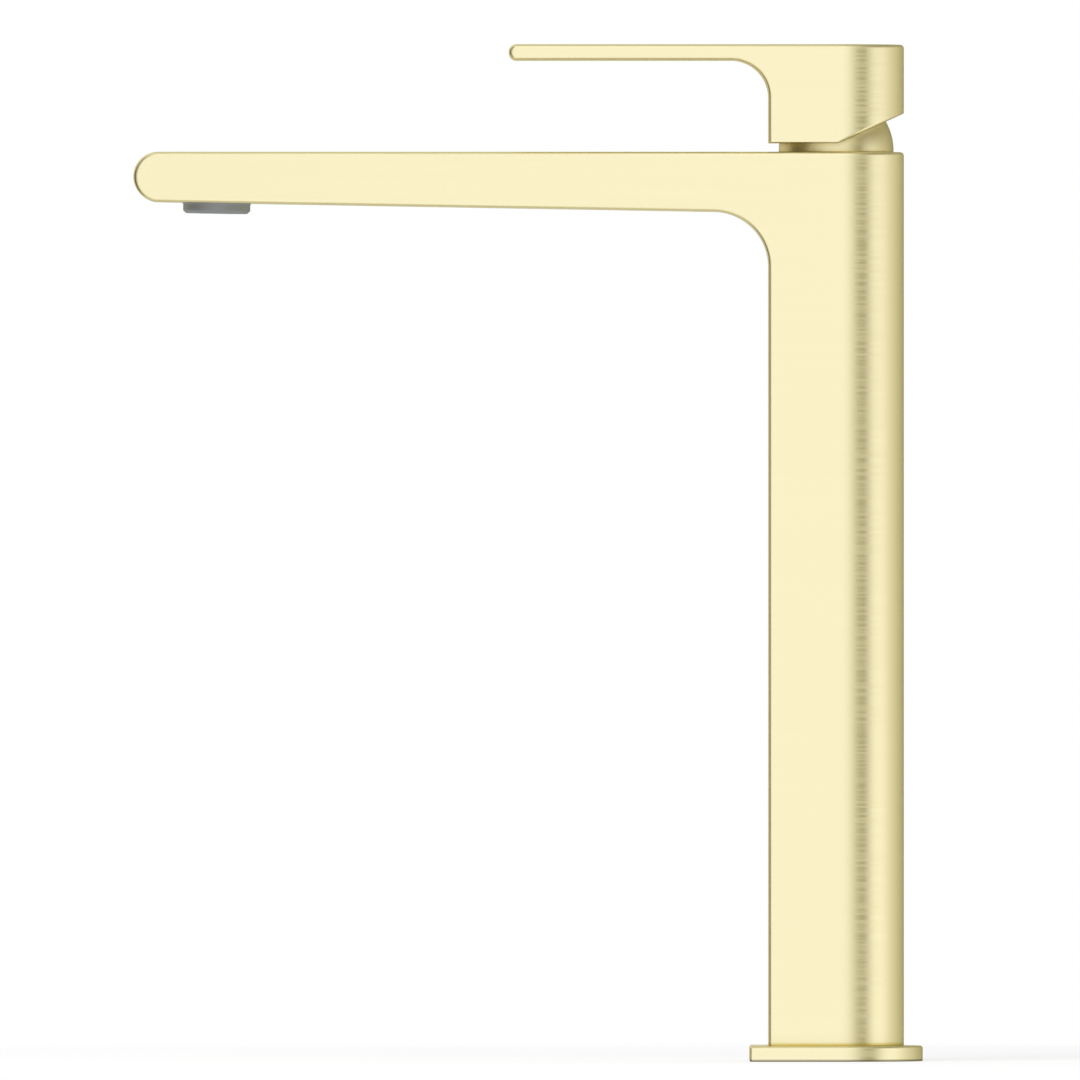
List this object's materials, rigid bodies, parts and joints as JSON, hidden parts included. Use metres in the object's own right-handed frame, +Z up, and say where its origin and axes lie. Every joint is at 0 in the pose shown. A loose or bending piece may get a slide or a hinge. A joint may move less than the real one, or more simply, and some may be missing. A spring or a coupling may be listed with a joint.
{
  "type": "bathroom mixer faucet",
  "caption": "Tall single-lever basin mixer: D-shaped column on a base plate, long flat spout with an aerator, flat lever over a dome.",
  "frame": {"origin": "on the column's axis, in the plane of the deck that the base plate rests on", "axes": "+Z up along the column, -X along the spout, +Y to the left of someone who faces the spout"},
  "size_m": [0.2446, 0.0538, 0.3151],
  "materials": {
    "brushed_gold": "pale gold plating, horizontally brushed",
    "gold_plug": "satin gold plastic",
    "machined_brass": "machined",
    "white_acetal": "moulded",
    "red_plastic": "moulded",
    "alumina": "lapped",
    "black_rubber": "moulded",
    "grey_plastic": "satin",
    "stainless_steel": "drawn",
    "red_enamel": "enamel",
    "blue_enamel": "enamel"
  },
  "bodies": {
    "root": {"body_casting": "brushed_gold", "base_plate": "brushed_gold", "deck_seal": "black_rubber", "valve_seat": "machined_brass", "seat_o_rings": "black_rubber", "seat_lock_ring": "machined_brass", "cartridge_base": "white_acetal", "port_seals": "black_rubber", "fixed_disc": "alumina", "cartridge_housing": "white_acetal", "stop_ring": "red_plastic", "retaining_nut": "machined_brass", "dome_cover": "brushed_gold", "dome_seal": "black_rubber", "aerator_housing": "grey_plastic", "aerator_core": "grey_plastic", "flow_regulator": "white_acetal", "aerator_screen": "stainless_steel", "aerator_seal": "black_rubber"},
    "mix_carrier": {"stem_carrier": "white_acetal", "pivot_pin": "stainless_steel"},
    "disc": {"disc_coupler": "white_acetal", "moving_disc": "alumina"},
    "lever": {"stem": "stainless_steel", "lever_handle": "brushed_gold", "grub_screw": "stainless_steel", "screw_plug": "gold_plug", "hot_mark": "red_enamel", "cold_mark": "blue_enamel"}
  },
  "joints": [
    {"name": "mix_turn", "type": "hinge", "parent": "root", "child": "mix_carrier", "pos_m": [0, 0, 0.2823], "axis": [0, 0, 1], "range_deg": [-50, 50]},
    {"name": "lever_lift", "type": "hinge", "parent": "mix_carrier", "child": "lever", "pos_m": [0, 0, 0.2823], "axis": [0, 1, 0], "range_deg": [0, 24]},
    {"name": "disc_slide", "type": "slide", "parent": "mix_carrier", "child": "disc", "axis": [-1, 0, 0], "range_m": [0, 0.0033]}
  ],
  "couplings": [
    {"joint": "disc_slide", "follows": "lever_lift", "m_per_rad": 0.007768}
  ]
}
